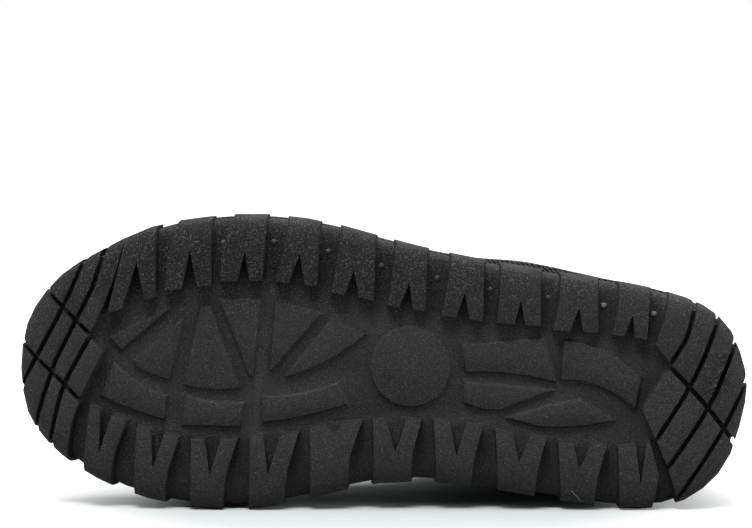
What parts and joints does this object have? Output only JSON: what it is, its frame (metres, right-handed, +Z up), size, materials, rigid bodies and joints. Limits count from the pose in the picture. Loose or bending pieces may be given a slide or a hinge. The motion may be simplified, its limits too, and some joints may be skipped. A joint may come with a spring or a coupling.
{
  "type": "winter boot",
  "caption": "Left winter boot with a plain woven pull-on upper in a deeply lugged rubber cup sole, lying on its inner side.",
  "frame": {"origin": "on the floor under the middle of the boot's bounding box, as it lies on its inner side", "axes": "+X from toe to heel, +Y from the tread to the collar, +Z up, towards the outer side of the foot"},
  "size_m": [0.3088, 0.235, 0.1251],
  "materials": {
    "sole_rubber": "satin black moulded rubber",
    "upper_textile": "coarse dark woven textile",
    "insole_felt": "dark felt"
  },
  "bodies": {
    "root": {"outsole": "sole_rubber", "upper": "upper_textile", "insole": "insole_felt"}
  },
  "joints": []
}
